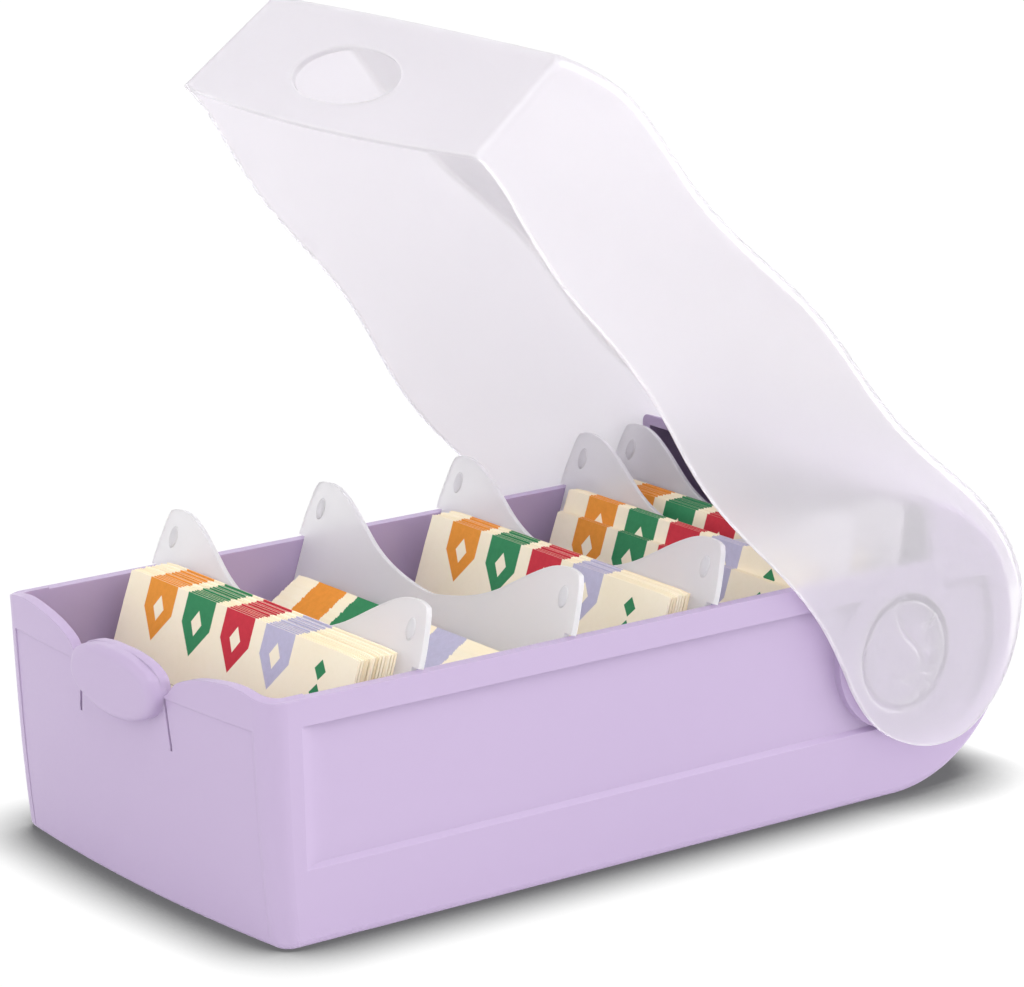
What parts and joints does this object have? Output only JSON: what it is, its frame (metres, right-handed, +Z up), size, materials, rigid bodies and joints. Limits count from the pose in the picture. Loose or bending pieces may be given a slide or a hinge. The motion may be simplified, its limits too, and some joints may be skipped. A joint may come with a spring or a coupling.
{
  "type": "index card box",
  "caption": "Desktop index card box: open tray with a sprung latch tongue, wave-edged frosted lid hinged at the rear, leaning two-eared dividers and packs of cards.",
  "frame": {"origin": "middle of the tray's flat bottom face", "axes": "+Z up, +Y towards the lid's hinge, +X across to the side on the viewer's right when facing the latch"},
  "size_m": [0.0938, 0.1789, 0.1512],
  "materials": {
    "tray": "satin lilac moulded plastic",
    "lid": "frosted translucent plastic",
    "divider": "frosted translucent plastic sheet",
    "card": "uncoated cream card stock"
  },
  "bodies": {
    "tray": {"tray": "tray"},
    "latch": {"latch_tongue": "tray"},
    "lid": {"lid": "lid"},
    "divider_1": {"divider_1": "divider"},
    "divider_2": {"divider_2": "divider"},
    "divider_3": {"divider_3": "divider"},
    "divider_4": {"divider_4": "divider"},
    "divider_5": {"divider_5": "divider"},
    "pack_1": {"cards_1_front": "card", "cards_1_stack": "card"},
    "pack_2": {"cards_2_front": "card", "cards_2_stack": "card"},
    "pack_3": {"cards_3_front": "card", "cards_3_stack": "card"},
    "pack_4": {"cards_4_front": "card", "cards_4_stack": "card"},
    "pack_5": {"cards_5_front": "card", "cards_5_stack": "card"}
  },
  "joints": [
    {"name": "lid_hinge", "type": "hinge", "parent": "tray", "child": "lid", "pos_m": [0, 0.06976, 0.0289], "axis": [-1, 0, 0], "range_deg": [-46, 54]},
    {"name": "latch_flex", "type": "hinge", "parent": "tray", "child": "latch", "pos_m": [0, -0.07359, 0.031], "axis": [-1, 0, 0], "range_deg": [0, 12], "stiffness_Nm_per_rad": 0.3},
    {"name": "divider_1_lift", "type": "slide", "parent": "tray", "child": "divider_1", "axis": [0, 0.309, 0.9511], "range_m": [0, 0.058]},
    {"name": "divider_2_lift", "type": "slide", "parent": "tray", "child": "divider_2", "axis": [0, 0.309, 0.9511], "range_m": [0, 0.058]},
    {"name": "divider_3_lift", "type": "slide", "parent": "tray", "child": "divider_3", "axis": [0, 0.309, 0.9511], "range_m": [0, 0.043]},
    {"name": "divider_4_lift", "type": "slide", "parent": "tray", "child": "divider_4", "axis": [0, 0.309, 0.9511], "range_m": [0, 0.0175]},
    {"name": "divider_5_lift", "type": "slide", "parent": "tray", "child": "divider_5", "axis": [0, 0.309, 0.9511], "range_m": [0, 0.0085]},
    {"name": "pack_1_lift", "type": "slide", "parent": "tray", "child": "pack_1", "axis": [0, 0.309, 0.9511], "range_m": [0, 0.05]},
    {"name": "pack_2_lift", "type": "slide", "parent": "tray", "child": "pack_2", "axis": [0, 0.309, 0.9511], "range_m": [0, 0.042]},
    {"name": "pack_3_lift", "type": "slide", "parent": "tray", "child": "pack_3", "axis": [0, 0.309, 0.9511], "range_m": [0, 0.05]},
    {"name": "pack_4_lift", "type": "slide", "parent": "tray", "child": "pack_4", "axis": [0, 0.309, 0.9511], "range_m": [0, 0.028]},
    {"name": "pack_5_lift", "type": "slide", "parent": "tray", "child": "pack_5", "axis": [0, 0.309, 0.9511], "range_m": [0, 0.019]}
  ]
}
